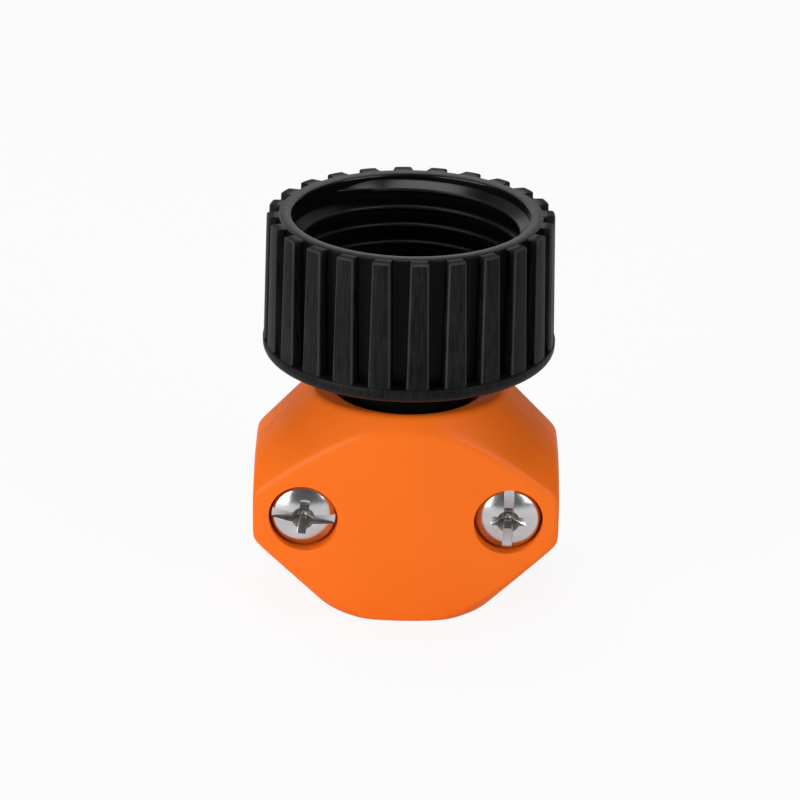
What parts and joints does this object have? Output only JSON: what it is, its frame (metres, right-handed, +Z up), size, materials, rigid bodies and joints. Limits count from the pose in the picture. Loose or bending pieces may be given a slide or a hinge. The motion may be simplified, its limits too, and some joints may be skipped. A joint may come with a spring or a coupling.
{
  "type": "female hose connector",
  "caption": "Hose mender end: a ribbed black swivel nut with a female hose socket on a barbed stem, held in a two-half orange screw clamp.",
  "frame": {"origin": "centre of the clamp's open hose end, on the surface it stands on", "axes": "+Z up the hose axis, from the hose end to the swivel nut's mouth; -Y is the side the screw heads look out of; +X to the right in the picture"},
  "size_m": [0.0354, 0.0338, 0.0466],
  "materials": {
    "black_nylon": "satin moulded black nylon",
    "stem_nylon": "satin moulded black nylon",
    "washer_rubber": "dull black rubber",
    "orange_nylon": "satin moulded orange nylon",
    "zinc_screw": "bright zinc plate",
    "zinc_hex_nut": "bright zinc plate"
  },
  "bodies": {
    "stem_and_back": {"clamp_back": "orange_nylon", "stem": "stem_nylon", "hex_nut_left": "zinc_hex_nut", "hex_nut_right": "zinc_hex_nut"},
    "swivel": {"swivel_nut": "black_nylon", "hose_washer": "washer_rubber"},
    "front_half": {"clamp_front": "orange_nylon"},
    "left_screw": {"screw_left": "zinc_screw"},
    "right_screw": {"screw_right": "zinc_screw"}
  },
  "joints": [
    {"name": "nut_swivel", "type": "hinge", "parent": "stem_and_back", "child": "swivel", "pos_m": [0, 0, 0.0301], "axis": [0, 0, 1], "continuous": true},
    {"name": "clamp_opening", "type": "slide", "parent": "stem_and_back", "child": "front_half", "axis": [0, -1, 0], "range_m": [0, 0.0024]},
    {"name": "left_screw_turn", "type": "hinge", "parent": "front_half", "child": "left_screw", "pos_m": [-0.0118, -0.0075, 0.0125], "axis": [0, -1, 0], "range_deg": [0, 1080]},
    {"name": "right_screw_turn", "type": "hinge", "parent": "front_half", "child": "right_screw", "pos_m": [0.0118, -0.0075, 0.0125], "axis": [0, -1, 0], "range_deg": [0, 1080]}
  ],
  "couplings": [
    {"joint": "left_screw_turn", "follows": "clamp_opening", "rad_per_m": 7854},
    {"joint": "right_screw_turn", "follows": "clamp_opening", "rad_per_m": 7854}
  ]
}
